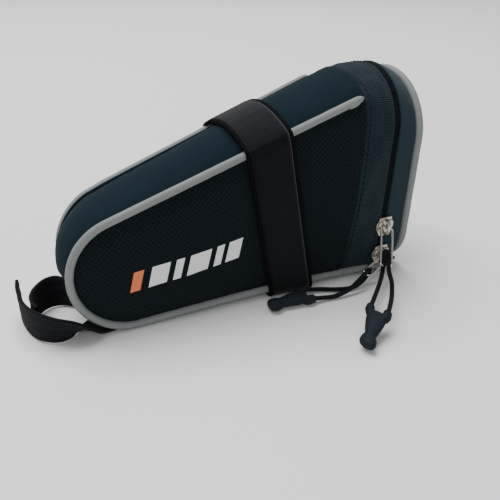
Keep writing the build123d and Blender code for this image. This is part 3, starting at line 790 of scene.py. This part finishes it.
def strap_loop(reach, grow, count=260):
    """Outer line of the strap at a distance across its width, as (y, height up the lean)."""
    c, s, rise = math.cos(LEAN), math.sin(LEAN), math.tan(SLOPE)
    edge = (slope_z(0) + reach * (s - rise * c)) / (c + rise * s)
    shoulder = edge + 1.2 + 0.3 * grow
    wide = half_width(-reach * c, 0) + PIPING_R + 0.1 + grow
    narrow = half_width(-reach * c - edge * s, edge) + PIPING_R + 0.1 + grow
    foot = (reach * s) / c + 0.05
    near = [(0, foot), (-wide * 0.5, foot), (-wide + 4, foot), (-wide + 1.2, foot + 0.9),
            (-wide, foot + 4), (-(wide + narrow) / 2, shoulder / 2)]
    near += [(-narrow - 0.1, shoulder - 4), (-narrow + 0.9, shoulder + 0.2)]
    crown = 7.0 + 0.7 * grow
    near += [(-narrow * v, shoulder + crown * (1 - v * v)) for v in (0.85, 0.65, 0.45, 0.2)] + [
        (0, shoulder + crown)]
    return resample(near + [(-y, h) for y, h in reversed(near[:-1])], count)


def strap_place(reach, y, h):
    c, s = math.cos(LEAN), math.sin(LEAN)
    return -reach * c - h * s, y, -reach * s + h * c


def strap_band(name, reaches, grow, thickness, material, slot, nodes, body="bag", keep=None):
    rows = []
    for reach in reaches:
        loop = strap_loop(reach, grow)
        rows.append([strap_place(reach, y, h) for y, h in (loop if keep is None else loop[keep(reach)])])
    return grid(name, rows, material, body, slot, nodes, thickness)


strap_band("strap_band", np.linspace(-10.4, 10.4, 15), 2.3, 1.9, STRAP, "strap_fabric", ["saddle_strap"])
for low, high, suffix in ((-12.5, -10.7, "rear"), (10.7, 12.5, "front")):
    strap_band(f"strap_edge_{suffix}", np.linspace(low, high, 4), 2.1, 1.7, SELVEDGE, "strap_fabric", [])


def patch(name, low, high, reaches, grow, thickness, material, slot, nodes, body, round_end=0.0):
    """Layer on the strap's far side between two heights, with a rounded lower end."""
    rows = []
    for reach in reaches:
        edge = abs(reach) / max(abs(r) for r in reaches)
        start = low + round_end * (1 - math.sqrt(max(0, 1 - edge ** 2 * 0.98)))
        loop = np.array([p for p in strap_loop(reach, grow, 900) if p[0] > 12])
        loop = loop[np.argsort(loop[:, 1])]
        heights = np.linspace(start, high, 50)
        rows.append([strap_place(reach, float(np.interp(h, loop[:, 1], loop[:, 0])), h) for h in heights])
    return grid(name, rows, material, body, slot, nodes, thickness, offset=-1.0)


patch("hook_patch", 36, 70, np.linspace(-10.3, 10.3, 9), 3.3, 0.8, HOOK, "hook_tape",
      ["strap_hook_patch"], "bag")
patch("flap", 26.5, 77.5, np.linspace(12.4, -12.4, 21), 5.6, 1.7, STRAP, "strap_fabric",
      ["strap_flap"], "strap_flap", 6.0)


# ---------------------------------------------------------------- seat-post strap
NEAR_BAND = [((-92.6, -11.9, 0.95), 180, 0), ((-99.0, -13.0, 1.1), 187, 0), ((-106.0, -17.4, 3.1), 198, 14),
             ((-113.5, -20.4, 7.3), 192, 56), ((-120.8, -19.8, 8.5), 165, 78), ((-127.3, -14.3, 8.8), 128, 90),
             ((-131.4, -6.5, 8.8), 108, 90), ((-133.2, 2.6, 9.0), 95, 90), ((-133.4, 11.0, 10.0), 87, 90),
             ((-132.0, 17.4, 11.4), 72, 90)]
FAR_BAND = [((-92.6, 12.2, 1.0), 180, 0), ((-99.0, 12.8, 1.2), 178, 0), ((-106.0, 16.4, 3.6), 170, -18),
            ((-112.8, 18.0, 7.5), 182, -58), ((-119.0, 15.8, 8.6), 204, -82), ((-124.4, 11.2, 8.9), 228, -90),
            ((-128.0, 5.0, 8.8), 252, -90), ((-128.9, -1.6, 8.8), 272, -90), ((-127.2, -7.8, 8.8), 296, -90)]


def webbing(name, stations, body, nodes, frayed):
    """Flat woven band whose width turns about its heading."""
    table = np.array([(*p, heading, roll) for p, heading, roll in stations], dtype=float)
    fine = table
    for _ in range(4):
        middle = (fine[:-1] * 0.75 + fine[1:] * 0.25, fine[:-1] * 0.25 + fine[1:] * 0.75)
        fine = np.concatenate([fine[:1], np.stack(middle, axis=1).reshape(-1, 5), fine[-1:]])
    rows, ends = [], None
    for x, y, z, heading, roll in fine:
        h, r = math.radians(heading), math.radians(roll)
        ahead = np.array((math.cos(h), math.sin(h), 0))
        level = np.cross(ahead, (0, 0, 1))
        across = level * math.cos(r) + np.array((0, 0, -1)) * math.sin(r)
        normal = np.cross(across, ahead)
        row = []
        for j in range(17):
            v = j / 8 - 1
            p = (np.array((x, y, z)) + across * v * 8.0 * (1 + 0.008 * wander(x, y, z, 4.0))
                 + normal * 0.12 * math.cos(v * 9))
            row.append((p[0], p[1], max(p[2], 0.85 if abs(math.cos(r)) > 0.7 else 0.1)))
        rows.append(row)
        ends = (np.array((x, y, z)), ahead, across, normal)
    grid(name, rows, WEBBING, body, "webbing", nodes, 1.4, 0.0)
    if not frayed:
        return
    middle, ahead, across, normal = ends
    verts, faces = [], []
    for k in range(120):
        v = wander(k, 1, 2, 0.7, 0.3) * 0.2 + (k + 0.5) / 60 - 1
        depth = 0.6 * math.sin(k * 2.4)
        reach = 0.5 + 1.3 * abs(wander(k, 5, 9, 0.9, 0.6))
        bend = across * 0.8 * wander(k, 3, 1, 0.8, 1.1) + normal * 0.8 * wander(k, 8, 4, 0.8, 2.1)
        root = middle + across * v * 7.6 + normal * depth
        first = len(verts)
        for m in range(4):
            t = m / 3
            centre = root + ahead * (reach * t - 0.3) + bend * t * t
            for j in range(4):
                a = math.pi / 2 * j
                verts.append(centre + 0.07 * (1 - 0.6 * t) * (math.cos(a) * across + math.sin(a) * normal))
            if m:
                b = first + (m - 1) * 4
                faces += [(b + j, b + (j + 1) % 4, b + 4 + (j + 1) % 4, b + 4 + j) for j in range(4)]
    add_piece(f"{name}_fray", verts, faces, THREAD, body, "webbing")


webbing("post_band_near", NEAR_BAND, "post_strap_near", ["post_strap_near"], True)
webbing("post_band_far", FAR_BAND, "bag", ["post_strap_far"], False)
anchor_rows = [[(x, y, 1.1) for y in np.linspace(-19.7, -4.1, 12)] for x in np.linspace(-91.8, -85, 6)]
grid("post_band_anchor", anchor_rows, WEBBING, "bag", "webbing", ["post_strap_anchor"], 0.8)


# ---------------------------------------------------------------- print on the near side
def slanted_bar(name, left, width, low, high, material):
    """Slanted printed bar that lies on the near side's cloth."""
    rows = []
    for h in np.linspace(low, high, 12):
        rows.append([(x, -side_surface(x, z) - 0.12, z) for x, z in
                     ((left + width * t + 0.28 * (h - low), 30 + h + 0.12 * (left + width * t + 58))
                      for t in np.linspace(0, 1, 9))])
    return grid(name, rows, material, "bag", "print_ink", [])


bars = [slanted_bar("print_bar_1", -86.0, 5.0, -5.0, 5.5, ORANGE_INK)]
for number, (left, width) in enumerate(((-77.0, 9.0), (-65.0, 4.0), (-58.0, 11.0), (-44.0, 4.0),
                                        (-37.5, 7.5)), 2):
    bars.append(slanted_bar(f"print_bar_{number}", left, width, -5.0, 5.5, WHITE_INK))
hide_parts("print_patch")

# ---------------------------------------------------------------- sliders and rings
def slider(name, z, body, stands_for):
    """Shield plate with two raised lobes, a rear wing and the bridge that holds the ring."""
    form = bmesh.new()

    def place(x, up, out):
        return Vector((coil_x(z + up) + x, -COIL_HALF - out, z + up)) * MM

    def slab(outline, low, high, shrink=1.0):
        rings = [[form.verts.new(place(x * k, y * k, out)) for x, y in outline]
                 for out, k in ((low, 1.0), (high, shrink))]
        count = len(outline)
        for j in range(count):
            form.faces.new((rings[0][j], rings[0][(j + 1) % count], rings[1][(j + 1) % count], rings[1][j]))
        form.faces.new(rings[1])
        form.faces.new(rings[0][::-1])

    half = [(0.0, 5.8), (3.9, 5.8), (4.3, 5.1), (4.5, 3.8), (5.7, 2.4), (6.0, 0.6), (5.6, -1.4), (4.6, -3.2),
            (4.0, -4.8), (3.0, -5.6), (1.2, -5.8)]
    outline = half + [(-x, y) for x, y in reversed(half) if x > 0]
    slab(outline, 0.7, 1.9, 0.95)
    slab([(x * 0.72, y * 0.8 - 0.6) for x, y in outline], -3.6, -2.7)
    slab([(0.45, 1.8), (-0.45, 1.8), (-0.45, -1.8), (0.45, -1.8)], -3.0, 1.0)
    for side in (-1, 1):
        lobe = [(side * 3.3 + 1.9 * math.cos(a), 0.9 + 2.9 * math.sin(a))
                for a in np.linspace(0, 2 * math.pi, 18, endpoint=False)]
        slab(lobe[::side], 1.6, 2.7, 0.97)
    arch = [(4.9, 1.2), (4.6, 3.0), (3.6, 4.8), (2.0, 5.7), (-2.0, 5.7), (-3.6, 4.8), (-4.6, 3.0), (-4.9, 1.2)]
    inner = [(3.7, 1.2), (3.5, 2.6), (2.8, 3.9), (1.6, 4.75), (-1.6, 4.75),
             (-2.8, 3.9), (-3.5, 2.6), (-3.7, 1.2)]
    rings = [[form.verts.new(place(x, up, out)) for x, (up, out) in zip((-1.0, 1.0, 1.0, -1.0), (o, o, i, i))]
             for o, i in zip(arch, inner)]
    for first, second in zip(rings, rings[1:]):
        for j in range(4):
            form.faces.new((first[j], first[(j + 1) % 4], second[(j + 1) % 4], second[j]))
    bmesh.ops.recalc_face_normals(form, faces=form.faces)
    mesh = bpy.data.meshes.new(name)
    form.to_mesh(mesh)
    form.free()
    mesh.materials.append(METAL)
    mesh.shade_smooth()
    piece = bpy.data.objects.new(name, mesh)
    bpy.context.scene.collection.objects.link(piece)
    bevel = piece.modifiers.new("bevel", "BEVEL")
    bevel.width, bevel.segments, bevel.limit_method, bevel.harden_normals = 0.28 * MM, 3, "ANGLE", True
    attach(piece, body)
    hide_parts(stands_for)


slider("upper_slider", UPPER_SLIDER_Z, "upper_slider", "upper_slider_body")
slider("lower_slider", LOWER_SLIDER_Z, "lower_slider", "lower_slider_body")
for name in ("upper_pull_ring", "lower_pull_ring"):
    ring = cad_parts[name]
    ring.data.materials.clear()
    ring.data.materials.append(WIRE)
